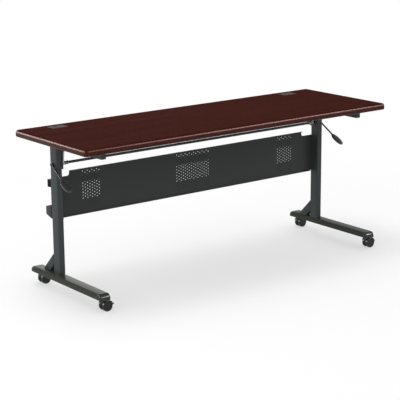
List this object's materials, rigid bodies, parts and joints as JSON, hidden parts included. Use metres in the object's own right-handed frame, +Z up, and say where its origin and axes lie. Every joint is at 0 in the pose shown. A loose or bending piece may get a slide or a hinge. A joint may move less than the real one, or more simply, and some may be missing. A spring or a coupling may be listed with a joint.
{
  "type": "flip top training table",
  "caption": "Long rectangular training table with a mahogany top that flips upright on its legs, twin wheel casters, modesty panel, cable trough and release levers",
  "frame": {"origin": "on the floor under the centre of the top, at the middle of the bounding box's bottom face", "axes": "X along the table's length, +Y to its rear where the cable trough is, +Z up"},
  "size_m": [1.8, 0.6, 0.75],
  "materials": {
    "mahogany": "satin dark mahogany laminate on board",
    "edge": "satin dark mahogany plastic edge",
    "charcoal": "semi-gloss charcoal powder coat",
    "foot_paint": "semi-gloss grey powder coat",
    "sheet": "fine textured charcoal powder coat",
    "black": "moulded black nylon",
    "grip": "moulded dark grey nylon",
    "grommet": "moulded grey plastic",
    "steel": "zinc plated steel",
    "rubber": "black rubber"
  },
  "bodies": {
    "frame": {"column_left": "charcoal", "column_right": "charcoal", "pivot_plate_left": "charcoal", "pivot_plate_right": "charcoal", "pivot_pin_left": "steel", "pivot_pin_right": "steel", "stop_bumper_left": "rubber", "stop_bumper_right": "rubber", "foot_left": "foot_paint", "foot_right": "foot_paint", "foot_cap_front_left": "black", "foot_cap_front_right": "black", "foot_cap_rear_left": "black", "foot_cap_rear_right": "black", "brace_left": "charcoal", "brace_right": "charcoal", "modesty_panel": "sheet", "trough_bracket_left": "charcoal", "trough_bracket_right": "charcoal", "rear_rail": "charcoal", "cable_trough": "sheet", "shaft_bush_left": "black", "shaft_bush_right": "black", "return_spring_left": "steel", "return_spring_right": "steel"},
    "top": {"tabletop": "mahogany", "edge_band": "edge", "grommet_left": "grommet", "grommet_right": "grommet", "support_arm_left": "charcoal", "support_arm_right": "charcoal", "catch_pin_left": "steel", "catch_pin_right": "steel"},
    "release": {"cross_shaft": "charcoal", "latch_pawl_left": "steel", "latch_pawl_right": "steel", "release_lever_left": "charcoal", "release_lever_right": "charcoal", "lever_grip_left": "grip", "lever_grip_right": "grip"},
    "cap_left": {"grommet_cap_left": "grommet"},
    "cap_right": {"grommet_cap_right": "grommet"},
    "swivel_front_left": {"caster_hood_front_left": "black", "caster_axle_front_left": "steel"},
    "wheel_a_front_left": {"caster_wheel_a_front_left": "rubber"},
    "wheel_b_front_left": {"caster_wheel_b_front_left": "rubber"},
    "pedal_front_left": {"brake_pedal_front_left": "grip"},
    "swivel_front_right": {"caster_hood_front_right": "black", "caster_axle_front_right": "steel"},
    "wheel_a_front_right": {"caster_wheel_a_front_right": "rubber"},
    "wheel_b_front_right": {"caster_wheel_b_front_right": "rubber"},
    "pedal_front_right": {"brake_pedal_front_right": "grip"},
    "swivel_rear_left": {"caster_hood_rear_left": "black", "caster_axle_rear_left": "steel"},
    "wheel_a_rear_left": {"caster_wheel_a_rear_left": "rubber"},
    "wheel_b_rear_left": {"caster_wheel_b_rear_left": "rubber"},
    "swivel_rear_right": {"caster_hood_rear_right": "black", "caster_axle_rear_right": "steel"},
    "wheel_a_rear_right": {"caster_wheel_a_rear_right": "rubber"},
    "wheel_b_rear_right": {"caster_wheel_b_rear_right": "rubber"}
  },
  "joints": [
    {"name": "top_flip", "type": "hinge", "parent": "frame", "child": "top", "pos_m": [0, 0.126, 0.678], "axis": [-1, 0, 0], "range_deg": [0, 90]},
    {"name": "release_pull", "type": "hinge", "parent": "frame", "child": "release", "pos_m": [0, 0.104, 0.608], "axis": [-1, 0, 0], "range_deg": [0, 15], "stiffness_Nm_per_rad": 4, "springref_deg": -8.59},
    {"name": "grommet_cap_lift_left", "type": "slide", "parent": "top", "child": "cap_left", "axis": [0, 0, 1], "range_m": [0, 0.03]},
    {"name": "grommet_cap_lift_right", "type": "slide", "parent": "top", "child": "cap_right", "axis": [0, 0, 1], "range_m": [0, 0.03]},
    {"name": "caster_swivel_front_left", "type": "hinge", "parent": "frame", "child": "swivel_front_left", "pos_m": [-0.814, -0.262, 0.05], "axis": [0, 0, 1], "continuous": true},
    {"name": "wheel_spin_a_front_left", "type": "hinge", "parent": "swivel_front_left", "child": "wheel_a_front_left", "pos_m": [-0.7915, -0.275, 0.025], "axis": [0, 1, 0], "continuous": true},
    {"name": "wheel_spin_b_front_left", "type": "hinge", "parent": "swivel_front_left", "child": "wheel_b_front_left", "pos_m": [-0.7915, -0.249, 0.025], "axis": [0, 1, 0], "continuous": true},
    {"name": "brake_press_front_left", "type": "hinge", "parent": "swivel_front_left", "child": "pedal_front_left", "pos_m": [-0.7915, -0.262, 0.025], "axis": [0, 1, 0], "range_deg": [0, 12]},
    {"name": "caster_swivel_front_right", "type": "hinge", "parent": "frame", "child": "swivel_front_right", "pos_m": [0.814, -0.262, 0.05], "axis": [0, 0, 1], "continuous": true},
    {"name": "wheel_spin_a_front_right", "type": "hinge", "parent": "swivel_front_right", "child": "wheel_a_front_right", "pos_m": [0.8365, -0.275, 0.025], "axis": [0, 1, 0], "continuous": true},
    {"name": "wheel_spin_b_front_right", "type": "hinge", "parent": "swivel_front_right", "child": "wheel_b_front_right", "pos_m": [0.8365, -0.249, 0.025], "axis": [0, 1, 0], "continuous": true},
    {"name": "brake_press_front_right", "type": "hinge", "parent": "swivel_front_right", "child": "pedal_front_right", "pos_m": [0.8365, -0.262, 0.025], "axis": [0, 1, 0], "range_deg": [0, 12]},
    {"name": "caster_swivel_rear_left", "type": "hinge", "parent": "frame", "child": "swivel_rear_left", "pos_m": [-0.814, 0.262, 0.05], "axis": [0, 0, 1], "continuous": true},
    {"name": "wheel_spin_a_rear_left", "type": "hinge", "parent": "swivel_rear_left", "child": "wheel_a_rear_left", "pos_m": [-0.7915, 0.249, 0.025], "axis": [0, 1, 0], "continuous": true},
    {"name": "wheel_spin_b_rear_left", "type": "hinge", "parent": "swivel_rear_left", "child": "wheel_b_rear_left", "pos_m": [-0.7915, 0.275, 0.025], "axis": [0, 1, 0], "continuous": true},
    {"name": "caster_swivel_rear_right", "type": "hinge", "parent": "frame", "child": "swivel_rear_right", "pos_m": [0.814, 0.262, 0.05], "axis": [0, 0, 1], "continuous": true},
    {"name": "wheel_spin_a_rear_right", "type": "hinge", "parent": "swivel_rear_right", "child": "wheel_a_rear_right", "pos_m": [0.8365, 0.249, 0.025], "axis": [0, 1, 0], "continuous": true},
    {"name": "wheel_spin_b_rear_right", "type": "hinge", "parent": "swivel_rear_right", "child": "wheel_b_rear_right", "pos_m": [0.8365, 0.275, 0.025], "axis": [0, 1, 0], "continuous": true}
  ]
}
